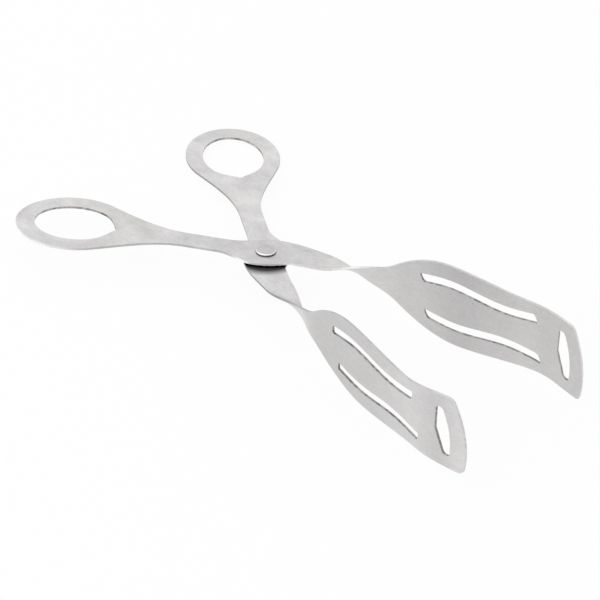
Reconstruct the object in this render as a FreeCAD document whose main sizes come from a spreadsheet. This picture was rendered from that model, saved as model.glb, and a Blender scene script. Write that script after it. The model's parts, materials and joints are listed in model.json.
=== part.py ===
import FreeCAD, Part
import math
import os

import PartDesign
import Sketcher
from FreeCAD import Placement, Rotation, Vector

# Scissor serving tongs: two equal stampings of stainless sheet, one turned over, crossing at a rivet.
#
# Arm frame, used to draw one arm: the sheet lies in the XY plane, the handle axis is X with the finger
# loop at -X and the blade at +X, and +Y is the outer side, which faces away from the other blade. The
# pivot hole stands a little to the outer side of the origin. Part frame: +X from the loops to the blades, +Z up, the table is Z = 0.

# Driving dimensions in millimetres and degrees: alias, value, what it is
SIZES = [
    ("sheet_thick", 1.0, "thickness of the stainless sheet"),
    # finger loop
    ("loop_reach", 83.65, "pivot to the middle of the finger loop"),
    ("loop_inward", 0.45, "handle axis to the middle of the finger loop, towards the inner side"),
    ("hole_long", 34.6, "finger hole along the handle"),
    ("hole_wide", 26.4, "finger hole across the handle"),
    ("hole_shift", 0.6, "loop's middle to the finger hole's middle, towards the pivot"),
    ("hole_turn", 52.0, "where the finger hole's edge leaves its ellipse, degrees round from the axis"),
    ("hole_point", 1.0, "how far the finger hole's pointed end stands out of the ellipse"),
    ("hole_round", 1.8, "rounding of that point"),
    ("rim_width", 7.3, "sheet left around the finger hole"),
    ("loop_turn", 59.0, "where the handle leaves the loop, degrees round from the handle axis"),
    # shank between loop and boss
    ("shank_start", 34.65, "pivot to the loop end of the straight shank"),
    ("shank_end_outer", 17.5, "pivot to where the shank's outer edge starts to widen"),
    ("shank_end_inner", 19.6, "pivot to where the shank's inner edge starts to widen"),
    ("shank_outer", 5.6, "handle axis to the outer edge of the shank"),
    ("shank_inner", 4.1, "handle axis to the inner edge of the shank"),
    # boss round the pivot
    ("pivot_out", 0.85, "handle axis to the pivot, towards the outer side"),
    ("boss_outer", 11.0, "handle axis to the outer edge of the boss"),
    ("boss_outer_at", 4.35, "how far towards the blade the outer edge is widest"),
    ("boss_inner", 9.4, "handle axis to the inner edge of the boss"),
    ("boss_inner_at", 3.5, "how far towards the loop the inner edge is widest"),
    ("corner_reach", 11.15, "pivot to the corner where boss and neck meet"),
    ("corner_out", 5.1, "handle axis to that corner"),
    ("corner_slope", 0.6, "slope of the boss edge as it runs into the corner"),
    # twisted neck
    ("neck_reach", 23.35, "pivot to the start of the twist"),
    ("neck_width", 12.2, "width of the sheet where the twist starts"),
    ("neck_shift", 0.5, "handle axis to the middle of the sheet where the twist starts"),
    ("neck_heading", 11.6, "inward turn of the neck where the twist starts"),
    ("neck_taper", 0.33, "slope of the outer edge where the twist starts"),
    ("neck_waist", 10.8, "narrowest width of the twisted neck"),
    ("twist_share", 0.9, "share of the neck's length over which the sheet twists"),
    # blade
    ("root_reach", 57.45, "pivot to the blade's root along the handle axis"),
    ("root_inward", 9.1, "handle axis to the blade's root, towards the other blade"),
    ("root_rise", 1.2, "sheet's mid-plane to the middle of the blade's root"),
    ("root_width", 18.8, "width of the blade's root"),
    ("root_flare", 0.8, "slope of each blade edge at the root"),
    ("blade_heading", 21.7, "inward turn of the blade from the handle axis"),
    ("blade_climb", 1.1, "climb of the blade away from the sheet's plane"),
    ("blade_lean", 11.1, "lean of the blade's face away from upright"),
    ("blade_length", 95.0, "root to tip, measured along the flat of the blade"),
    ("belly_width", 42.8, "widest part of the blade"),
    ("belly_at", 29.0, "root to the widest part"),
    ("throat_width", 36.6, "narrower part between belly and tip"),
    ("throat_back", 27.5, "tip to the narrower part"),
    ("tip_width", 38.8, "width of the blade at its tip corners"),
    ("tip_sagitta", 3.4, "how far the tip's curved edge stands out in the middle"),
    ("corner_length", 2.2, "length of each rounded tip corner"),
    ("bend_back", 28.9, "tip to the start of its inward bend"),
    ("bend_radius", 47.0, "mid-sheet radius of that bend"),
    ("bend_angle", 16.1, "angle of that bend"),
    # slots in the blade
    ("slot_width", 4.6, "width of the two long slots"),
    ("slot_start", 16.3, "root to the middle of each long slot's first end"),
    ("slot_end_back", 26.5, "tip to the middle of each long slot's last end"),
    ("slot_oblique", 1.7, "how much further one side of a slot's end reaches than the other"),
    ("slot_nick", 0.5, "rounding of the sharp corner of a slot's end"),
    ("slot_edge_gap", 10.0, "blade edge to the middle line of the long slot at the belly"),
    ("slot_dip_back", 41.0, "tip to where the slots come closest together"),
    ("slot_dip", 8.9, "blade's middle line to the slot's middle line there"),
    ("slot_sweep", 1.5, "how far each end of a long slot turns from the belly or the dip"),
    ("vent_back", 14.2, "tip to the point of the cross slot"),
    ("vent_depth", 7.1, "length of the cross slot along the blade, in the middle"),
    ("vent_span", 25.6, "length of the cross slot across the blade"),
    ("vent_bow", 1.3, "how far the cross slot's two long sides bow in the middle"),
    # rivet and washer
    ("shank_dia", 5.0, "rivet shank"),
    ("rivet_play", 0.05, "radial play of the shank in holes, and play under each head"),
    ("head_dia", 8.6, "rivet head"),
    ("head_height", 1.2, "height of the rivet head"),
    ("head_round", 0.5, "rounding of the rivet head's rim"),
    ("head_crown", 0.25, "crown of the rivet head above its rim"),
    ("tail_dia", 8.0, "closing head on the lower side"),
    ("tail_height", 1.0, "height of the closing head"),
    ("tail_crown", 0.6, "crown of the closing head beyond its rim"),
    ("washer_dia", 12.0, "thin washer between the arms"),
    ("washer_thick", 0.5, "thickness of that washer"),
    # pose
    ("half_opening", 32.1, "angle of each handle from the middle line in the resting pose"),
]

NECK_SECTIONS = 9
SETTLING_PASSES = 8
FOOT_FINENESS = 0.05
FAR = 1000.0


def fill_sheet(doc):
    """Put every driving dimension in a cell with an alias."""
    sheet = doc.addObject("Spreadsheet::Sheet", "Sizes")
    for row, (alias, value, meaning) in enumerate(SIZES, start=1):
        sheet.set("A%d" % row, meaning)
        sheet.set("B%d" % row, str(value))
        sheet.setAlias("B%d" % row, alias)
    doc.recompute()
    return sheet


class Cells:
    """Reads a cell of the sheet by its alias."""

    def __init__(self, sheet):
        self._sheet = sheet

    def __getattr__(self, alias):
        return float(self._sheet.get(alias))


def direction(degrees):
    """Unit vector in the XY plane."""
    angle = math.radians(degrees)
    return Vector(math.cos(angle), math.sin(angle), 0)


def slope(rise):
    """Unit vector that climbs by rise for each millimetre along +X."""
    return Vector(1, rise, 0).normalize()


def blend(start, start_way, end, end_way):
    """Cubic curve that leaves start along start_way and reaches end along end_way."""
    reach = (end - start).Length / 3
    curve = Part.BezierCurve()
    curve.setPoles([start, start + start_way * reach, end - end_way * reach, end])
    return curve


def edge_of(curve):
    return curve.toBSpline()


def line(start, end):
    return Part.LineSegment(start, end)


def mirrored(point):
    """The same point on the other side of the X axis."""
    return Vector(point.x, -point.y, point.z)


# ---- sketches in a body ----

def origin_plane(body, role):
    for feature in body.Origin.OriginFeatures:
        if feature.Role == role:
            return feature
    raise ValueError(role)


def new_sketch(body, name, placement=None):
    """Sketch on the body's XY plane, moved from there by placement."""
    sketch = body.newObject("Sketcher::SketchObject", name)
    sketch.AttachmentSupport = (origin_plane(body, "XY_Plane"), [""])
    sketch.MapMode = "FlatFace"
    if placement is not None:
        sketch.AttachmentOffset = placement
    return sketch


def bind(sketch, constraint, name, expression):
    """Add a constraint, name it and tie it to the sheet."""
    index = sketch.addConstraint(constraint)
    sketch.renameConstraint(index, name)
    sketch.setExpression("Constraints." + name, expression)


def circle_sketch(body, name, radius, expression, placement=None):
    sketch = new_sketch(body, name, placement)
    sketch.addGeometry(Part.Circle(Vector(), Vector(0, 0, 1), radius), False)
    sketch.addConstraint(Sketcher.Constraint("Coincident", 0, 3, -1, 1))
    bind(sketch, Sketcher.Constraint("Radius", 0, radius), "radius", expression)
    return sketch


def plate_section(body, name, width, thick, placement):
    """Cross-section of the sheet: width along the sketch's X, thickness along its Y."""
    sketch = new_sketch(body, name, placement)
    across = width / 2
    half = thick / 2
    corners = [Vector(-across, -half, 0), Vector(across, -half, 0),
               Vector(across, half, 0), Vector(-across, half, 0)]
    for index in range(4):
        sketch.addGeometry(line(corners[index], corners[(index + 1) % 4]), False)
    for index in range(4):
        sketch.addConstraint(Sketcher.Constraint("Coincident", index, 2, (index + 1) % 4, 1))
    sketch.addConstraint(Sketcher.Constraint("Horizontal", 0))
    sketch.addConstraint(Sketcher.Constraint("Horizontal", 2))
    sketch.addConstraint(Sketcher.Constraint("Vertical", 1))
    sketch.addConstraint(Sketcher.Constraint("Symmetric", 0, 1, 2, 1, -1, 1))
    sketch.addConstraint(Sketcher.Constraint("Distance", 0, width))
    bind(sketch, Sketcher.Constraint("Distance", 1, thick), "thick", "Sizes.sheet_thick")
    return sketch


def pad(body, sketch, name, expression):
    """Pad that grows equally to both sides of its sketch."""
    feature = body.newObject("PartDesign::Pad", name)
    feature.Profile = sketch
    feature.Midplane = True
    feature.setExpression("Length", expression)
    return feature


def pocket(body, sketch, name, expression):
    """Pocket that cuts equally to both sides of its sketch."""
    feature = body.newObject("PartDesign::Pocket", name)
    feature.Profile = sketch
    feature.Midplane = True
    feature.setExpression("Length", expression)
    return feature


# ---- one arm, in its own frame ----

def handle_outline(size):
    """Closed outline of the flat part, from the finger loop to the start of the twist."""
    loop_middle = Vector(-size.loop_reach, -size.loop_inward, 0)
    long_half = size.hole_long / 2 + size.rim_width
    wide_half = size.hole_wide / 2 + size.rim_width
    turn = math.radians(size.loop_turn)
    leave = Vector(long_half * math.cos(turn), wide_half * math.sin(turn), 0)
    loop_outer = loop_middle + leave
    loop_inner = loop_middle + mirrored(leave)
    leave_outer = Vector(long_half * math.sin(turn), -wide_half * math.cos(turn), 0).normalize()
    loop = Part.ArcOfEllipse(Part.Ellipse(loop_middle, long_half, wide_half), turn, 2 * math.pi - turn)

    along = Vector(1, 0, 0)
    shank_outer_from = Vector(-size.shank_start, size.shank_outer, 0)
    shank_outer_to = Vector(-size.shank_end_outer, size.shank_outer, 0)
    shank_inner_from = Vector(-size.shank_start, -size.shank_inner, 0)
    shank_inner_to = Vector(-size.shank_end_inner, -size.shank_inner, 0)
    boss_outer = Vector(size.boss_outer_at, size.boss_outer, 0)
    boss_inner = Vector(-size.boss_inner_at, -size.boss_inner, 0)
    corner = Vector(size.corner_reach, -size.corner_out, 0)
    neck_outer, neck_inner = neck_start_corners(size)

    return [
        loop,
        edge_of(blend(loop_inner, mirrored(leave_outer), shank_inner_from, along)),
        line(shank_inner_from, shank_inner_to),
        edge_of(blend(shank_inner_to, along, boss_inner, along)),
        edge_of(blend(boss_inner, along, corner, slope(size.corner_slope))),
        line(corner, neck_inner),
        line(neck_inner, neck_outer),
        edge_of(blend(boss_outer, along, neck_outer, slope(-size.neck_taper))),
        edge_of(blend(shank_outer_to, along, boss_outer, along)),
        line(shank_outer_from, shank_outer_to),
        edge_of(blend(loop_outer, leave_outer, shank_outer_from, along)),
    ]


def finger_hole(size):
    """Closed outline of the finger hole: an ellipse drawn out to a rounded point towards the shank."""
    middle = Vector(size.hole_shift - size.loop_reach, -size.loop_inward, 0)
    long_half = size.hole_long / 2
    wide_half = size.hole_wide / 2
    turn = math.radians(size.hole_turn)
    leave = Vector(long_half * math.cos(turn), wide_half * math.sin(turn), 0)
    leave_way = Vector(long_half * math.sin(turn), -wide_half * math.cos(turn), 0).normalize()
    tip = Vector(long_half + size.hole_point, 0, 0)
    near_tip = tip + Vector(-size.hole_round * 0.5, size.hole_round * 0.9, 0)
    to_tip = Vector(0.5, -1, 0).normalize()
    return [
        Part.ArcOfEllipse(Part.Ellipse(middle, long_half, wide_half), turn, 2 * math.pi - turn),
        edge_of(blend(middle + leave, leave_way, middle + near_tip, to_tip)),
        Part.Arc(middle + near_tip, middle + tip, middle + mirrored(near_tip)),
        edge_of(blend(middle + mirrored(leave), mirrored(leave_way),
                      middle + mirrored(near_tip), mirrored(to_tip))),
    ]


def neck_start_corners(size):
    """Outer and inner corner of the flat part where the twist starts."""
    middle = Vector(size.neck_reach, size.neck_shift, 0)
    half = size.neck_width / 2
    heading = direction(-size.neck_heading)
    outward = Vector(-heading.y, heading.x, 0)
    return middle + outward * half, middle - outward * half


def blade_frame(size):
    """Placement of the blade: origin at the root, X to the tip, Y to the upper edge, Z to the inside."""
    heading = direction(-size.blade_heading)
    climb = math.radians(size.blade_climb)
    to_tip = heading * math.cos(climb) + Vector(0, 0, math.sin(climb))
    side = to_tip.cross(Vector(0, 0, 1)).normalize()
    upright = side.cross(to_tip)
    lean = math.radians(size.blade_lean)
    to_edge = side * math.sin(lean) + upright * math.cos(lean)
    root = Vector(size.root_reach, -size.root_inward, size.root_rise)
    return Placement(root, Rotation(to_tip, to_edge, to_tip.cross(to_edge), "XYZ"))


def neck_line(size):
    """Middle line of the neck, from the flat part to the blade's root."""
    start = Vector(size.neck_reach, size.neck_shift, 0)
    frame = blade_frame(size)
    to_tip = frame.Rotation.multVec(Vector(1, 0, 0))
    return blend(start, direction(-size.neck_heading), frame.Base, to_tip)


def neck_width(size, share):
    """Width of the sheet at a share of the neck's length: it narrows, then flares into the blade."""
    half_length = (size.root_reach - size.neck_reach) / 2
    if share < 0.5:
        ends = (size.neck_width, size.neck_waist)
        rates = (size.neck_waist - size.neck_width, 0)
        part = share * 2
    else:
        ends = (size.neck_waist, size.root_width)
        rates = (0, 2 * size.root_flare * half_length)
        part = share * 2 - 1
    keep = 1 - part
    return (ends[0] * keep * keep * (1 + 2 * part) + ends[1] * part * part * (3 - 2 * part)
            + rates[0] * part * keep * keep - rates[1] * part * part * keep)


def neck_section_placement(size, line_of_neck, share):
    """Where a cross-section of the neck stands: X across the sheet, Z along the neck."""
    along = line_of_neck.tangent(share)[0]
    side = along.cross(Vector(0, 0, 1)).normalize()
    up = side.cross(along)
    part = min(share / size.twist_share, 1)
    turned = part * part * (3 - 2 * part) * math.radians(90 - size.blade_lean)
    across = side * math.cos(turned) + up * math.sin(turned)
    rotation = Rotation(across, along.cross(across), along, "XYZ")
    return Placement(line_of_neck.value(share), rotation)


def add_neck(body, size):
    """Twisted neck, lofted through cross-sections of the sheet."""
    line_of_neck = neck_line(size)
    sections = []
    for index in range(NECK_SECTIONS):
        share = index / (NECK_SECTIONS - 1)
        sections.append(plate_section(body, "NeckSection", neck_width(size, share), size.sheet_thick,
                                      neck_section_placement(size, line_of_neck, share)))
    loft = body.newObject("PartDesign::AdditiveLoft", "Neck")
    loft.Profile = sections[0]
    loft.Sections = sections[1:]
    loft.Ruled = False
    return loft


def band_outline(size):
    """Side view of the blade's sheet: flat, then bent inwards near the tip."""
    half = size.sheet_thick / 2
    radius = size.bend_radius
    angle = math.radians(size.bend_angle)
    centre = Vector(size.blade_length - size.bend_back, radius, 0)
    past_tip = size.bend_back

    def arc(offset):
        reach = radius - offset
        points = [centre + Vector(math.sin(turn), -math.cos(turn), 0) * reach
                  for turn in (0, angle / 2, angle)]
        return points[0], Part.Arc(*points), points[2]

    outer_from, outer_arc, outer_to = arc(-half)
    inner_from, inner_arc, inner_to = arc(half)
    onwards = direction(size.bend_angle) * past_tip
    return [
        line(Vector(0, -half, 0), outer_from),
        outer_arc,
        line(outer_to, outer_to + onwards),
        line(outer_to + onwards, inner_to + onwards),
        line(inner_to + onwards, inner_to),
        inner_arc,
        line(inner_from, Vector(0, half, 0)),
        line(Vector(0, half, 0), Vector(0, -half, 0)),
    ]


def blade_edge(size):
    """Upper half of the blade's outline, from the root to the middle of the tip."""
    along = Vector(1, 0, 0)
    root = Vector(0, size.root_width / 2, 0)
    belly = Vector(size.belly_at, size.belly_width / 2, 0)
    throat = Vector(size.blade_length - size.throat_back, size.throat_width / 2, 0)
    tip = Vector(size.blade_length, 0, 0)
    corner = Vector(size.blade_length - size.tip_sagitta - size.corner_length, size.tip_width / 2, 0)
    radius = (size.tip_width ** 2 / 4 + size.tip_sagitta ** 2) / (2 * size.tip_sagitta)
    half_angle = math.asin((size.tip_width / 2 - size.corner_length) / radius)
    centre = tip - Vector(radius, 0, 0)
    arc_end = centre + Vector(math.cos(half_angle), math.sin(half_angle), 0) * radius
    down = Vector(math.sin(half_angle), -math.cos(half_angle), 0)
    rounding = Part.BezierCurve()
    knuckle = size.corner_length * 0.55
    rounding.setPoles([corner, corner + along * knuckle * 1.3, arc_end - down * knuckle, arc_end])
    return [
        blend(root, slope(size.root_flare), belly, along),
        blend(belly, along, throat, along),
        blend(throat, along, corner, along),
        rounding,
    ], arc_end, tip


def blade_waste(size):
    """Closed outline of the sheet that is cut away around the blade."""
    curves, arc_end, tip = blade_edge(size)
    beyond = size.belly_width
    far = size.blade_length + size.belly_width
    upper = [edge_of(curve) for curve in curves]
    lower = []
    for curve in curves:
        other = Part.BezierCurve()
        other.setPoles([mirrored(pole) for pole in curve.getPoles()])
        lower.append(edge_of(other))
    root = Vector(0, size.root_width / 2, 0)
    frame = [root, Vector(0, beyond, 0), Vector(far, beyond, 0),
             Vector(far, -beyond, 0), Vector(0, -beyond, 0), mirrored(root)]
    lines = [line(frame[index], frame[index + 1]) for index in range(5)]
    return upper + [Part.Arc(arc_end, tip, mirrored(arc_end))] + lower + lines


def slot_stations(size):
    """Middle line of the upper long slot: four points and the slope at each."""
    belly = size.belly_width / 2 - size.slot_edge_gap
    return [
        (Vector(size.slot_start, belly - size.slot_sweep, 0), slope(size.slot_sweep / 8)),
        (Vector(size.belly_at, belly, 0), Vector(1, 0, 0)),
        (Vector(size.blade_length - size.slot_dip_back, size.slot_dip, 0), Vector(1, 0, 0)),
        (Vector(size.blade_length - size.slot_end_back, size.slot_dip + size.slot_sweep, 0),
         slope(size.slot_sweep / 8)),
    ]


def long_slot(size, side):
    """Closed outline of one long slot, side 1 for the upper and -1 for the lower.

    Both ends are cut obliquely: the upper edge reaches further to the root, the lower one to the tip.
    """
    half = Vector(0, size.slot_width / 2, 0)
    stations = [(Vector(place.x, place.y * side, 0), Vector(way.x, way.y * side, 0))
                for place, way in slot_stations(size)]
    (root, root_way), (tip, tip_way) = stations[0], stations[-1]
    nick = Vector(size.slot_nick, size.slot_nick, 0)

    def end(middle, way, out):
        """Edge round one end, out 1 for the tip and -1 for the root, from its short side to its long side."""
        short = middle + half * out
        corner = middle + way * (size.slot_oblique / way.x * out) - half * out
        onto_corner = slope(-10) * out
        return [
            edge_of(blend(short, way * out, corner + nick * out, onto_corner)),
            edge_of(blend(corner + nick * out, onto_corner, corner, way * -out)),
        ], short, corner

    root_edges, root_short, root_corner = end(root, root_way, -1)
    tip_edges, tip_short, tip_corner = end(tip, tip_way, 1)
    upper = [(root_corner, root_way)] + [(place + half, way) for place, way in stations[1:-1]] + [(tip_short, tip_way)]
    lower = [(root_short, root_way)] + [(place - half, way) for place, way in stations[1:-1]] + [(tip_corner, tip_way)]
    curves = root_edges + tip_edges
    for edge in (upper, lower):
        for (start, start_way), (stop, stop_way) in zip(edge, edge[1:]):
            curves.append(edge_of(blend(start, start_way, stop, stop_way)))
    return curves


def cross_slot(size):
    """Closed outline of the slot across the tip: a shallow point behind, a curved side in front."""
    point = Vector(size.blade_length - size.vent_back, 0, 0)
    front = point + Vector(size.vent_depth, 0, 0)
    shoulder = size.vent_span / 2 - size.vent_depth / 4
    back = Vector(point.x + size.vent_bow * 1.5, shoulder, 0)
    ahead = Vector(front.x - size.vent_bow, shoulder, 0)
    crown = Vector((back.x + ahead.x) / 2, size.vent_span / 2, 0)
    return [
        line(mirrored(back), point),
        line(point, back),
        Part.Arc(back, crown, ahead),
        Part.Arc(ahead, front, mirrored(ahead)),
        Part.Arc(mirrored(ahead), mirrored(crown), mirrored(back)),
    ]


def add_blade(body, size):
    """Blade: a bent band of sheet, cut to its outline and slotted."""
    face = blade_frame(size)
    side = Placement(Vector(), Rotation(Vector(1, 0, 0), Vector(0, 0, 1), Vector(0, -1, 0), "XYZ"))
    band = new_sketch(body, "BladeBand", face * side)
    band.addGeometry(band_outline(size), False)
    pad(body, band, "BladeSheet", "Sizes.belly_width * 1.5")

    waste = new_sketch(body, "BladeWaste", face)
    waste.addGeometry(blade_waste(size), False)
    pocket(body, waste, "BladeTrim", "Sizes.blade_length")

    slots = new_sketch(body, "BladeSlots", face)
    slots.addGeometry(long_slot(size, 1) + long_slot(size, -1) + cross_slot(size), False)
    return pocket(body, slots, "SlotCut", "Sizes.blade_length")


def pivot_place(size):
    """The middle of the pivot hole in the arm frame."""
    return Vector(0, size.pivot_out, 0)


def make_arm(doc, size, label):
    """One stamping: finger loop, shank, boss, twisted neck and slotted blade."""
    body = doc.addObject("PartDesign::Body", label)
    body.Label = label
    outline = new_sketch(body, "HandleOutline")
    outline.addGeometry(handle_outline(size), False)
    pad(body, outline, "HandlePlate", "Sizes.sheet_thick")

    hole = new_sketch(body, "FingerHole")
    hole.addGeometry(finger_hole(size), False)
    pocket(body, hole, "FingerCut", "Sizes.sheet_thick * 2")

    bore = circle_sketch(body, "PivotHole", size.shank_dia / 2 + size.rivet_play,
                         "Sizes.shank_dia / 2 + Sizes.rivet_play", Placement(pivot_place(size), Rotation()))
    pocket(body, bore, "PivotCut", "Sizes.sheet_thick * 2")

    add_neck(body, size)
    body.Tip = add_blade(body, size)
    return body


# ---- pivot ----

def arm_offset(size):
    """Height of the upper arm's mid-plane above the middle of the washer."""
    return size.washer_thick / 2 + size.rivet_play + size.sheet_thick / 2


def grip_half(size):
    """Half of the height that the rivet's two heads hold between them."""
    return arm_offset(size) + size.sheet_thick / 2 + size.rivet_play


def crown_arc(edge, crown):
    """Arc of a round crown, from the axis to its edge: the crown stands out by the given height."""
    radius = (edge.x ** 2 + crown ** 2) / (2 * abs(crown))
    half = math.asin(edge.x / radius) / 2
    out = math.copysign(1, crown)
    middle = Vector(radius * math.sin(half), edge.y + crown - out * radius * (1 - math.cos(half)), 0)
    return Part.Arc(Vector(0, edge.y + crown, 0), middle, edge)


def make_rivet(doc, size):
    """Rivet: low head with a rounded rim, shank, and a closing head on the lower side."""
    body = doc.addObject("PartDesign::Body", "pivot_rivet")
    body.Label = "pivot_rivet"
    grip = grip_half(size)
    shank = size.shank_dia / 2
    head = size.head_dia / 2
    tail = size.tail_dia / 2
    rim_top = grip + size.head_height - size.head_crown
    rim_round = size.head_round
    flat_edge = Vector(head - rim_round, rim_top, 0)
    round_end = Vector(head, rim_top - rim_round, 0)
    round_mid = flat_edge + Vector(math.sin(math.pi / 4), math.cos(math.pi / 4) - 1, 0) * rim_round
    tail_rim = -grip - size.tail_height + size.tail_crown
    sketch = new_sketch(body, "RivetProfile",
                        Placement(Vector(), Rotation(Vector(1, 0, 0), 90)))
    sketch.addGeometry([
        line(Vector(0, tail_rim - size.tail_crown, 0), Vector(0, rim_top + size.head_crown, 0)),
        crown_arc(flat_edge, size.head_crown),
        Part.Arc(flat_edge, round_mid, round_end),
        line(round_end, Vector(head, grip, 0)),
        line(Vector(head, grip, 0), Vector(shank, grip, 0)),
        line(Vector(shank, grip, 0), Vector(shank, -grip, 0)),
        line(Vector(shank, -grip, 0), Vector(tail, -grip, 0)),
        line(Vector(tail, -grip, 0), Vector(tail, tail_rim, 0)),
        crown_arc(Vector(tail, tail_rim, 0), -size.tail_crown),
    ], False)
    turned = body.newObject("PartDesign::Revolution", "RivetTurn")
    turned.Profile = sketch
    turned.ReferenceAxis = (sketch, ["V_Axis"])
    turned.Angle = 360
    body.Tip = turned
    return body


def make_washer(doc, size):
    """Thin washer that keeps the two arms apart."""
    body = doc.addObject("PartDesign::Body", "spacer_washer")
    body.Label = "spacer_washer"
    disc = circle_sketch(body, "WasherDisc", size.washer_dia / 2, "Sizes.washer_dia / 2")
    pad(body, disc, "WasherPlate", "Sizes.washer_thick")
    bore = circle_sketch(body, "WasherBore", size.shank_dia / 2 + size.rivet_play,
                         "Sizes.shank_dia / 2 + Sizes.rivet_play")
    body.Tip = pocket(body, bore, "WasherCut", "Sizes.washer_thick * 2")
    return body


# ---- assembly ----

def arm_placement(size, upper):
    """Arm frame to pivot frame: the lower arm is the upper one turned over about the middle line."""
    opened = (Placement(Vector(0, 0, arm_offset(size)), Rotation(Vector(0, 0, 1), size.half_opening))
              * Placement(pivot_place(size) * -1, Rotation()))
    if upper:
        return opened
    return Placement(Vector(), Rotation(Vector(1, 0, 0), 180)) * opened


def settle(upper_shape, lower_shape):
    """Tilt that stands the tongs on both blades' lower edges and on the lower arm's loop.

    The shapes come in the pivot frame, where the blades lie ahead of the pivot and the loops behind.
    """
    behind = Part.makeBox(FAR, FAR, FAR, Vector(-FAR, -FAR / 2, -FAR / 2))
    supports = [upper_shape.cut(behind), lower_shape.cut(behind), lower_shape.common(behind)]
    clouds = [shape.tessellate(FOOT_FINENESS)[0] for shape in supports]
    tilt = Rotation()
    for _ in range(SETTLING_PASSES):
        feet = [min(map(tilt.multVec, cloud), key=lambda point: point.z) for cloud in clouds]
        upper_foot, lower_foot, loop_foot = feet
        floor_normal = (upper_foot - lower_foot).cross(loop_foot - lower_foot)
        if floor_normal.z < 0:
            floor_normal = floor_normal * -1
        tilt = Rotation(floor_normal, Vector(0, 0, 1)) * tilt
    return Placement(Vector(), tilt)


def place_on_table(bodies, placements, tilt):
    """Set each body's placement so that the whole stands on Z = 0, centred on the origin."""
    box = FreeCAD.BoundBox()
    for body, placement in zip(bodies, placements):
        moved = body.Shape.copy()
        moved.Placement = tilt * placement
        box.add(moved.optimalBoundingBox(False, False))
    lift = Placement(Vector(-box.Center.x, -box.Center.y, -box.ZMin), Rotation())
    for body, placement in zip(bodies, placements):
        body.Placement = lift * tilt * placement
    return lift * tilt


def check(doc, bodies):
    """Stop on any object that failed and on any shape that is empty or broken."""
    for item in doc.Objects:
        if "Invalid" in item.State or "Error" in item.State:
            raise RuntimeError("failed: " + item.Name + " " + str(item.State))
    for body in bodies:
        if body.Shape.isNull() or not body.Shape.isValid() or len(body.Shape.Solids) != 1:
            raise RuntimeError("bad shape: " + body.Label)


def build():
    doc = FreeCAD.newDocument("Tongs")
    size = Cells(fill_sheet(doc))
    upper = make_arm(doc, size, "upper_arm")
    lower = make_arm(doc, size, "lower_arm")
    rivet = make_rivet(doc, size)
    washer = make_washer(doc, size)
    bodies = [upper, lower, rivet, washer]
    doc.recompute()
    check(doc, bodies)

    placements = [arm_placement(size, True), arm_placement(size, False), Placement(), Placement()]
    pivoted = []
    for body, placement in zip(bodies[:2], placements):
        shape = body.Shape.copy()
        shape.Placement = placement
        pivoted.append(shape)
    stand = place_on_table(bodies, placements, settle(*pivoted))
    doc.recompute()
    check(doc, bodies)

    os.makedirs("parts", exist_ok=True)
    for body in bodies:
        body.Shape.exportStep("parts/" + body.Label + ".step")
        solid = body.Shape
        print("%-14s volume %9.1f faces %3d" % (body.Label, solid.Volume, len(solid.Faces)))
    print("pivot", stand.Base, "axis", stand.Rotation.multVec(Vector(0, 0, 1)))
    return doc, bodies, stand


build()
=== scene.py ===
import json
import math

import bpy
from mathutils import Matrix, Vector


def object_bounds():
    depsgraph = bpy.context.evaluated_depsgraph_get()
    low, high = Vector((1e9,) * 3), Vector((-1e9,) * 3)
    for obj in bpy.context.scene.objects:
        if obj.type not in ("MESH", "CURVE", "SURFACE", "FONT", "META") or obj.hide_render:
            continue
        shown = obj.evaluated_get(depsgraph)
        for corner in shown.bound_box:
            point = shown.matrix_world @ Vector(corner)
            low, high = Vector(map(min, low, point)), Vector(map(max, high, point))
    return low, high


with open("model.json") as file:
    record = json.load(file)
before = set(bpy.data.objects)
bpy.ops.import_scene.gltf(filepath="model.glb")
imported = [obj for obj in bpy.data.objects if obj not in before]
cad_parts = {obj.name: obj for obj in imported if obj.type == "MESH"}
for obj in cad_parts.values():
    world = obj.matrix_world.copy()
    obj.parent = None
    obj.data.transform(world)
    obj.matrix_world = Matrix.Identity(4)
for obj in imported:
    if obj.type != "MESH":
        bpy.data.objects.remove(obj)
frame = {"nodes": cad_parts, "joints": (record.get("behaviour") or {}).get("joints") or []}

CAD_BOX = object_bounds()

# Scissor serving tongs. The imported pieces keep their shape. Here they get tumbled steel, rounded
# edges, and a tone of their own for the walls where the sheet was cut, with painted light and
# shade along the tongs, on those walls and at the joint. Lengths are in metres.

# The camera, seen from the pivot: angles in degrees.
CAMERA_AZIMUTH = 45.41
CAMERA_ELEVATION = 31.99
CAMERA_ROLL = 1.89
CAMERA_DISTANCE = 1.4474
# From the pivot to the point it aims at, across the picture and up it.
AIM_RIGHT = 0.01421
AIM_UP = -0.01913
# Focal length and sensor width in millimetres.
LENS = 208.4
SENSOR = 36.0
# The camera sees nothing that is nearer or farther than this.
NEAREST, FARTHEST = 0.05, 30

# The stage: a pale floor just below the object, and white surroundings.
FLOOR_SIZE = 8.0
FLOOR_GAP = 0.0001
FLOOR_COLOR = (0.95, 0.95, 0.95, 1)
WHITE = (1, 1, 1, 1)
# How much of the surroundings shows through the floor, for the camera and for reflections.
FLOOR_CLEAR = 0.93
# How strongly the surroundings light matt surfaces, as a share of what the camera sees.
SKY_LIGHT = 0.7
# Square lamps that face the pivot: name, place, side, and power in watts.
LAMPS = (
    ("key", (-0.9, 0.3, 1.6), 1.2, 1.6),
    ("left", (-0.75, -0.6, 0.72), 1.6, 3.4),
    ("front", (0.15, -0.65, 1.02), 1.4, 3.0),
)

# How far the edges are rounded: on the arms by tumbling, and on the rivet and the washer.
ARM_ROUND = 0.00028
RIVET_ROUND = 0.0002
WASHER_ROUND = 0.00004
ROUND_SEGMENTS = 2
# Edges sharper than this, in degrees, are rounded, and part an arm's cut walls from its faces.
EDGE_ANGLE = 40
# Points of a mesh that are nearer than this are the same point.
WELD = 0.000001
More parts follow.
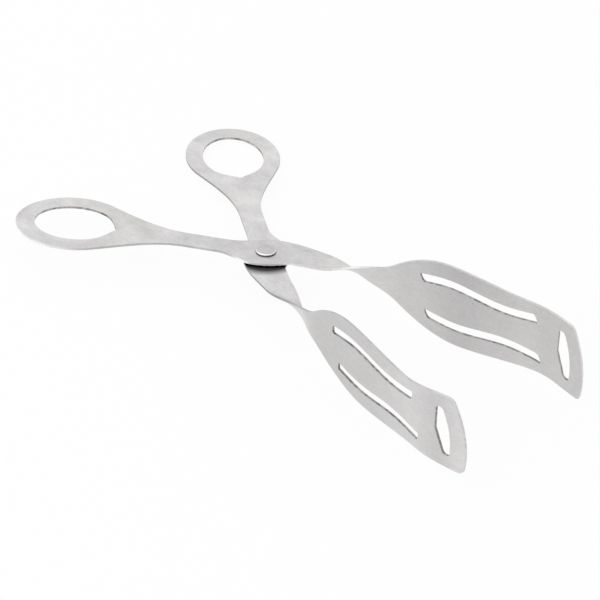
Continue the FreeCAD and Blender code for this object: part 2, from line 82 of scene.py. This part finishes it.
# Areas in square metres: a hole's wall is under the first, the wall round an arm is between the
# two, and an arm's faces are over the second.
HOLE_WALL_AREA = 0.00017
RIM_WALL_AREA = 0.002

# Painted shade at the joint, where the parts shade each other: the distances from the rivet's axis
# between which it ends, and its darkness.
RIVET_PAINTED_SHADE = (0.0042, 0.0046, 0.55)
ARM_PAINTED_SHADE = (0.0125, 0.0168, 0.94)
# The lower arm's painted shade is on the side of the rivet that faces its blade, and sets in
# between these distances.
BLADE_SIDE = (0.84, -0.54, 0.0)
BLADE_SIDE_START = (0.001, 0.006)

# Painted light and shade along the tongs, how light the steel is: places on the X axis and
# factors.
UPPER_PAINTED_LIGHT = (
    (-0.115, 1.05), (-0.04, 0.99), (-0.02, 0.95), (0.01, 1.06), (0.035, 0.94),
    (0.06, 0.83), (0.075, 0.9), (0.09, 0.96), (0.1, 0.92), (0.12, 0.92),
)
LOWER_PAINTED_LIGHT = (
    (-0.115, 1.03), (-0.05, 1.05), (-0.01, 1.0), (0.012, 1.06), (0.03, 0.87),
    (0.062, 0.9), (0.095, 1.02), (0.107, 0.93), (0.12, 1.07),
)
# Painted highlights and shade, the same way, for the cut walls: round the upper arm, round the
# lower arm, and in the holes of both.
UPPER_RIM_PAINTED_LIGHT = (
    (-0.12, 1.75), (-0.088, 1.65), (-0.075, 0.95), (-0.038, 1.0), (-0.03, 1.85), (-0.016, 1.95),
    (-0.008, 1.55), (0.009, 1.5), (0.02, 1.15), (0.1, 1.2), (0.12, 1.5),
)
LOWER_RIM_PAINTED_LIGHT = (
    (-0.12, 0.7), (-0.03, 0.7), (0.0, 0.65), (0.02, 1.05), (0.09, 1.12), (0.12, 1.5),
)
HOLE_WALL_PAINTED_SHADE = ((-0.12, 1.2), (-0.06, 1.2), (0.02, 1.0), (0.12, 1.0))
# Factors are divided by this to keep them under 1 in a colour ramp, and multiplied after it.
RAMP_RANGE = 2.0

# The rivet's factors: painted shade on its dull sides, a painted highlight on its rounded rim, and
# its crown; and how upright the surface is where one passes into the next.
SIDE_PAINTED_SHADE, RIM_PAINTED_HIGHLIGHT, CROWN_TONE = 0.45, 1.35, 0.88
SIDE_TO_RIM = (0.1, 0.4)
RIM_TO_CROWN = (0.8, 0.96)

# The range that most of a noise lies in.
NOISE_RANGE = (0.3, 0.7)
# A slow noise of this scale pushes the patterns about, by up to half of this reach each way.
WARP_SCALE, WARP_REACH = 40.0, 0.012
# Cloudy tone, and how strong it is on the handles and on the blades. The one gives way to the
# other between these places on the X axis.
CLOUD_SCALE = 95.0
HANDLE_CLOUD = 0.12
BLADE_CLOUD = 0.045
BLADES_START = (0.005, 0.03)
# Patches of another colour, larger than the clouds, and fine grain.
PATCH_SCALE = 24.0
GRAIN_SCALE = 900.0
GRAIN_DEPTH = 0.075
# The brushed lay and the scratches are sets of lines. Each set has its turn from the lay in
# degrees, and how many times its lines are longer than wide. All are also tilted about the X and
# Y axes, by these angles in radians.
TILT = (0.3, 0.2)
BRUSHED = ((0, 9.0), (90, 6.0))
BRUSHED_SCALE = 800.0
BRUSHED_RANGE = (0.4, 0.7)
BRUSHED_DEPTH = 0.025
SCRATCHED = ((24, 14.0), (-41, 20.0), (77, 17.0))
SCRATCHED_SCALE = 2600.0
SCRATCHED_RANGE = (0.66, 0.74)
SCRATCH_TONE = 0.08
# What cloud and scratches add to the roughness.
CLOUD_GLOSS = (-0.05, 0.06)
SCRATCH_GLOSS = 0.1
# The relief: how deep it is, and how deep a scratch is beside the grain.
BUMP_STRENGTH = 0.3
BUMP_DEPTH = 0.00001
SCRATCH_DEPTH = -0.6
# Small dark pits, far apart. Between these radii, as shares of a pattern cell, they fade out.
PIT_SCALE = 55.0
PIT_RADII = (0.014, 0.028)
PIT_TONE = 0.62


def pivot_axes():
    """The pivot point, and x, y and z axes with z along the rivet and x towards the blades."""
    joint = frame["joints"][0]
    z = Vector(joint["axis"]).normalized()
    x = Vector((1, 0, 0)) - z * z.x
    x.normalize()
    return Vector(joint["pos_m"]), x, z.cross(x), z


def make_camera():
    pivot, x, y, z = pivot_axes()
    azimuth, elevation, roll = (
        math.radians(angle) for angle in (CAMERA_AZIMUTH, CAMERA_ELEVATION, CAMERA_ROLL))
    away = math.sin(azimuth) * x - math.cos(azimuth) * y
    back = math.cos(elevation) * away + math.sin(elevation) * z
    level = math.cos(azimuth) * x + math.sin(azimuth) * y
    upright = back.cross(level)
    right = math.cos(roll) * level + math.sin(roll) * upright
    up = back.cross(right)
    place = pivot + AIM_RIGHT * right + AIM_UP * up + CAMERA_DISTANCE * back
    data = bpy.data.cameras.new("camera")
    data.lens, data.sensor_width = LENS, SENSOR
    data.clip_start, data.clip_end = NEAREST, FARTHEST
    camera = bpy.data.objects.new("camera", data)
    turn = Matrix((right, up, back)).transposed().to_4x4()
    camera.matrix_world = Matrix.Translation(place) @ turn
    bpy.context.scene.collection.objects.link(camera)
    bpy.context.scene.camera = camera


class Nodes:
    """Short calls for making and joining the nodes of a material, a world or a modifier."""

    def __init__(self, tree, family="ShaderNode"):
        self.tree, self.family = tree, family
        tree.nodes.clear()

    def add(self, kind, **inputs):
        """A node; each input is a number, a colour or a socket, with _ for a space in its name."""
        node = self.tree.nodes.new(self.family + kind)
        for name, value in inputs.items():
            self.put(node, name.replace("_", " "), value)
        return node

    def put(self, node, name, value):
        socket = node.inputs[name]
        if isinstance(value, bpy.types.NodeSocket):
            self.tree.links.new(value, socket)
        else:
            socket.default_value = value

    def math(self, operation, *values):
        node = self.tree.nodes.new("ShaderNodeMath")
        node.operation = operation
        for i, value in enumerate(values):
            self.put(node, i, value)
        return node.outputs[0]

    def vector(self, operation, first, second=None):
        """A vector operation's result; for SCALE the second value is a number."""
        node = self.tree.nodes.new("ShaderNodeVectorMath")
        node.operation = operation
        self.put(node, 0, first)
        if second is not None:
            self.put(node, "Scale" if operation == "SCALE" else 1, second)
        return node.outputs["Value" if operation in ("LENGTH", "DOT_PRODUCT") else "Vector"]

    def compare(self, operation, value, limit):
        node = self.tree.nodes.new("FunctionNodeCompare")
        node.operation = operation
        self.put(node, 0, value)
        self.put(node, 1, limit)
        return node.outputs[0]


def new_material(name):
    """An empty material and the calls that make its nodes."""
    material = bpy.data.materials.new(name)
    material.use_nodes = True
    return material, Nodes(material.node_tree)


def seen_directly(n):
    """1 for the camera's rays and for reflections and things seen through glass, else 0."""
    path = n.add("LightPath")
    either = n.math("MAXIMUM", path.outputs["Is Camera Ray"], path.outputs["Is Glossy Ray"])
    return n.math("MAXIMUM", either, path.outputs["Is Transmission Ray"])


def floor_material():
    """Pale paper that takes shadows. Most of it lets the white surroundings show, and at the
    joint's upper limit the blade that swings below the table, which would look cut off there."""
    material, n = new_material("floor")
    paper = n.add("BsdfDiffuse", Color=FLOOR_COLOR)
    clear = n.add("BsdfTransparent", Color=WHITE)
    mix = n.add("MixShader", Fac=n.math("MULTIPLY", seen_directly(n), FLOOR_CLEAR))
    n.put(mix, 1, paper.outputs[0])
    n.put(mix, 2, clear.outputs[0])
    n.add("OutputMaterial", Surface=mix.outputs[0])
    return material


def make_floor():
    height = CAD_BOX[0].z - FLOOR_GAP
    bpy.ops.mesh.primitive_plane_add(size=FLOOR_SIZE, location=(0, 0, height))
    floor = bpy.context.object
    floor.name = "floor"
    floor.data.materials.append(floor_material())


def make_world():
    world = bpy.data.worlds.new("world")
    bpy.context.scene.world = world
    world.use_nodes = True
    n = Nodes(world.node_tree)
    strength = n.math("MULTIPLY_ADD", seen_directly(n), 1 - SKY_LIGHT, SKY_LIGHT)
    sky = n.add("Background", Color=WHITE, Strength=strength)
    n.add("OutputWorld", Surface=sky.outputs[0])


def make_lights():
    target = pivot_axes()[0]
    for name, place, side, power in LAMPS:
        data = bpy.data.lights.new(name, "AREA")
        data.size, data.energy = side, power
        lamp = bpy.data.objects.new(name, data)
        lamp.location = place
        lamp.rotation_mode = "QUATERNION"
        lamp.rotation_quaternion = (target - Vector(place)).to_track_quat("-Z", "Y")
        bpy.context.scene.collection.objects.link(lamp)


def noise(n, where, scale, detail=1.0, roughness=0.5):
    texture = n.add("TexNoise", Vector=where, Scale=scale, Detail=detail, Roughness=roughness)
    return texture.outputs["Fac"]


def warped(n, where):
    """Coordinates pushed about by a slow noise, so that no pattern runs in straight lines."""
    drift = n.add("TexNoise", Vector=where, Scale=WARP_SCALE, Detail=1.0)
    push = n.vector("SUBTRACT", drift.outputs["Color"], (0.5, 0.5, 0.5))
    return n.vector("ADD", where, n.vector("SCALE", push, WARP_REACH))


def spread(n, value, low, high, start=NOISE_RANGE[0], end=NOISE_RANGE[1]):
    """Maps a value between start and end to a value between low and high."""
    node = n.add("MapRange", Value=value, From_Min=start, From_Max=end, To_Min=low, To_Max=high)
    return node.outputs["Result"]


def along(tones):
    """A factor that changes smoothly with the place on the X axis."""
    start, end = tones[0][0], tones[-1][0]

    def factor(n, where):
        x = n.add("SeparateXYZ", Vector=where).outputs[0]
        ramp = n.add("ValToRGB", Fac=spread(n, x, 0.0, 1.0, start, end))
        stops = ramp.color_ramp.elements
        ramp.color_ramp.interpolation = "EASE"
        while len(stops) < len(tones):
            stops.new(0.5)
        for stop, (place, tone) in zip(stops, tones):
            stop.position = (place - start) / (end - start)
            stop.color = (*[tone / RAMP_RANGE] * 3, 1)
        return n.math("MULTIPLY", ramp.outputs[0], RAMP_RANGE)

    return factor


def painted_shade(inner, outer, darkness, side=None):
    """Painted shade: a factor that darkens the steel near the rivet's axis; side keeps that to one
    half.
    """
    pivot, _, _, axis = pivot_axes()

    def factor(n, where):
        offset = n.vector("SUBTRACT", where, tuple(pivot))
        radius = n.vector("LENGTH", n.vector("CROSS_PRODUCT", offset, tuple(axis)))
        shade_share = spread(n, radius, darkness, 0.0, inner, outer)
        if side:
            ahead = n.vector("DOT_PRODUCT", offset, side)
            shade_share = n.math("MULTIPLY", shade_share, spread(n, ahead, 0.0, 1.0, *BLADE_SIDE_START))
        return n.math("SUBTRACT", 1.0, shade_share)

    return factor


def head_highlight_and_shade(n, where):
    """A factor for the rivet: painted shade on its dull sides, a painted highlight on its rim, a
    plain crown.
    """
    normal = n.add("TexCoord").outputs["Normal"]
    upright = n.vector("DOT_PRODUCT", normal, tuple(pivot_axes()[3]))
    rim = spread(n, upright, SIDE_PAINTED_SHADE, RIM_PAINTED_HIGHLIGHT, *SIDE_TO_RIM)
    crown = spread(n, upright, 0.0, RIM_PAINTED_HIGHLIGHT - CROWN_TONE, *RIM_TO_CROWN)
    return n.math("SUBTRACT", rim, crown)


def pits(n, where):
    """A factor that leaves a few small dark pits."""
    cells = n.add("TexVoronoi", Vector=where, Scale=PIT_SCALE)
    return spread(n, cells.outputs["Distance"], PIT_TONE, 1.0, *PIT_RADII)


def hairlines(n, where, lay, sets, scale):
    """Sets of thin lines, turned from the lay: the highest of several drawn-out noises."""
    lines = None
    for turn, length in sets:
        mapping = n.add("Mapping", Vector=where)
        mapping.inputs["Rotation"].default_value = (*TILT, math.radians(lay + turn))
        mapping.inputs["Scale"].default_value = (1 / length, 1, 1)
        hair = noise(n, mapping.outputs[0], scale)
        lines = hair if lines is None else n.math("MAXIMUM", lines, hair)
    return lines


def steel(name, color, stain, roughness, lay=0, patches=PATCH_SCALE, metallic=1.0, factors=()):
    """Tumbled sheet steel: cloudy tone, fine grain, and hairline scratches that cross each other.

    Its colour lies between color and stain, in patches of the given scale, and each factor
    makes it lighter or darker. lay is the direction of the brushing, in degrees.
    """
    material, n = new_material(name)
    where = n.add("TexCoord").outputs["Object"]
    soft = warped(n, where)

    cloud = noise(n, soft, CLOUD_SCALE, detail=4.0, roughness=0.62)
    patch = noise(n, soft, patches, detail=2.0)
    grain = noise(n, where, GRAIN_SCALE, detail=4.0, roughness=0.75)
    brushed = hairlines(n, soft, lay, BRUSHED, BRUSHED_SCALE)
    scratched = hairlines(n, where, lay, SCRATCHED, SCRATCHED_SCALE)
    scratches = spread(n, scratched, 0.0, 1.0, *SCRATCHED_RANGE)
    place = n.add("SeparateXYZ", Vector=where).outputs[0]
    cloud_depth = spread(n, place, HANDLE_CLOUD, BLADE_CLOUD, *BLADES_START)

    shade = n.math("MULTIPLY_ADD", spread(n, cloud, -1.0, 1.0), cloud_depth, 1.0)
    details = [
        spread(n, grain, 1 - GRAIN_DEPTH, 1 + GRAIN_DEPTH),
        spread(n, brushed, 1 - BRUSHED_DEPTH, 1 + BRUSHED_DEPTH, *BRUSHED_RANGE),
        n.math("MULTIPLY_ADD", scratches, SCRATCH_TONE, 1.0),
    ]
    for detail in details + [factor(n, where) for factor in factors]:
        shade = n.math("MULTIPLY", shade, detail)
    tone = n.add("MixRGB", Fac=spread(n, patch, 0.0, 1.0))
    tone.inputs[1].default_value = (*color, 1)
    tone.inputs[2].default_value = (*stain, 1)
    paint = n.vector("SCALE", tone.outputs[0], shade)

    gloss = spread(n, cloud, *(roughness + change for change in CLOUD_GLOSS))
    gloss = n.math("ADD", gloss, n.math("MULTIPLY", scratches, SCRATCH_GLOSS))
    height = n.math("MULTIPLY_ADD", scratches, SCRATCH_DEPTH, grain)
    bump = n.add("Bump", Strength=BUMP_STRENGTH, Distance=BUMP_DEPTH, Height=height)
    surface = n.add("BsdfPrincipled", Base_Color=paint, Metallic=metallic, Roughness=gloss,
                    Normal=bump.outputs[0])
    n.add("OutputMaterial", Surface=surface.outputs[0])
    return material


def cut_walls(rim, hole_wall_shade):
    """Geometry nodes that give an arm's cut walls, round it and in its holes, their materials.

    The mesh is parted at its sharp edges, each wall is known by its area, and the parts are
    joined again.
    """
    tree = bpy.data.node_groups.new("stamped_walls", "GeometryNodeTree")
    for way in ("INPUT", "OUTPUT"):
        tree.interface.new_socket("Geometry", in_out=way, socket_type="NodeSocketGeometry")
    n = Nodes(tree, "GeometryNode")

    def welded(geometry):
        weld = n.add("MergeByDistance", Geometry=geometry, Distance=WELD)
        return weld.outputs["Geometry"]

    mesh = welded(tree.nodes.new("NodeGroupInput").outputs[0])
    angle = n.add("InputMeshEdgeAngle").outputs["Unsigned Angle"]
    sharp = n.compare("GREATER_THAN", angle, math.radians(EDGE_ANGLE))
    mesh = n.add("SplitEdges", Mesh=mesh, Selection=sharp).outputs["Mesh"]

    total = n.add("AccumulateField")
    total.domain = "FACE"
    n.put(total, "Value", n.add("InputMeshFaceArea").outputs["Area"])
    n.put(total, "Group ID", n.add("InputMeshIsland").outputs["Island Index"])
    store = n.add("StoreNamedAttribute", Geometry=mesh, Value=total.outputs["Total"])
    store.data_type, store.domain = "FLOAT", "FACE"
    store.inputs["Name"].default_value = "wall_area"
    mesh = store.outputs["Geometry"]
    area = n.add("InputNamedAttribute", Name="wall_area")
    area.data_type = "FLOAT"

    for material, limit in ((rim, RIM_WALL_AREA), (hole_wall_shade, HOLE_WALL_AREA)):
        walls = n.compare("LESS_THAN", area.outputs["Attribute"], limit)
        painted = n.add("SetMaterial", Geometry=mesh, Selection=walls, Material=material)
        mesh = painted.outputs["Geometry"]
    end = tree.nodes.new("NodeGroupOutput")
    tree.links.new(welded(mesh), end.inputs[0])
    return tree


def finish_node(name, material, width, walls=None):
    """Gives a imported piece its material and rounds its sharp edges, with modifiers only."""
    node = frame["nodes"][name]
    for slot in node.material_slots:
        slot.material = material
    if walls is None:
        node.modifiers.new("weld", "WELD").merge_threshold = WELD
    else:
        node.modifiers.new("cut walls", "NODES").node_group = walls
    bevel = node.modifiers.new("edges", "BEVEL")
    bevel.limit_method = "ANGLE"
    bevel.angle_limit = math.radians(EDGE_ANGLE)
    bevel.width, bevel.segments = width, ROUND_SEGMENTS
    bevel.use_clamp_overlap = True
    node.modifiers.new("shading", "WEIGHTED_NORMAL").keep_sharp = False


def finish_arms():
    """Both arms: satin faces, a sheared wall round them, and the walls of their holes dark by
    painted shade.
    """
    # The holes' walls: steel darkened by painted shade.
    hole_wall_shade = steel(
        "arm_punched_walls_painted_shade", color=(0.16, 0.155, 0.15), stain=(0.46, 0.45, 0.43), roughness=0.45,
        patches=420.0, factors=(along(HOLE_WALL_PAINTED_SHADE),))

    # The upper arm's faces, with painted light and shade along them and painted shade round the
    # rivet.
    face = steel(
        "upper_steel_satin", color=(0.622, 0.609, 0.616), stain=(0.612, 0.607, 0.587),
        roughness=0.34, lay=33, factors=(along(UPPER_PAINTED_LIGHT), painted_shade(*RIVET_PAINTED_SHADE), pits))
    # Its sheared wall, with painted highlights and shade along it.
    rim = steel(
        "upper_rim_sheared_painted_light", color=(0.53, 0.52, 0.52), stain=(0.49, 0.48, 0.48),
        roughness=0.3, lay=33, patches=120.0, metallic=0.3, factors=(along(UPPER_RIM_PAINTED_LIGHT),))
    finish_node("upper_arm", face, ARM_ROUND, cut_walls(rim, hole_wall_shade))

    # The lower arm's faces, with painted light and shade along them and painted shade at the
    # joint.
    face = steel(
        "lower_steel_satin", color=(0.635, 0.622, 0.63), stain=(0.63, 0.622, 0.615),
        roughness=0.34, lay=-33,
        factors=(along(LOWER_PAINTED_LIGHT), painted_shade(*ARM_PAINTED_SHADE, side=BLADE_SIDE), pits))
    # Its sheared wall, with painted light and shade along it.
    rim = steel(
        "lower_rim_sheared_painted_light", color=(0.49, 0.48, 0.48), stain=(0.42, 0.41, 0.41),
        roughness=0.3, lay=-33, patches=120.0, metallic=0.3, factors=(along(LOWER_RIM_PAINTED_LIGHT),))
    finish_node("lower_arm", face, ARM_ROUND, cut_walls(rim, hole_wall_shade))


def finish_joint():
    # The rivet, with painted shade on its sides and a painted highlight on its rim.
    rivet = steel(
        "rivet_steel_polished", color=(0.63, 0.62, 0.62), stain=(0.6, 0.59, 0.585),
        roughness=0.33, factors=(head_highlight_and_shade,))
    finish_node("pivot_rivet", rivet, RIVET_ROUND)
    washer = steel(
        "washer_steel_plain", color=(0.3, 0.3, 0.3), stain=(0.26, 0.26, 0.25), roughness=0.4)
    finish_node("spacer_washer", washer, WASHER_ROUND)


bpy.context.scene.view_settings.view_transform = "Standard"
make_camera()
make_floor()
make_world()
make_lights()
finish_arms()
finish_joint()
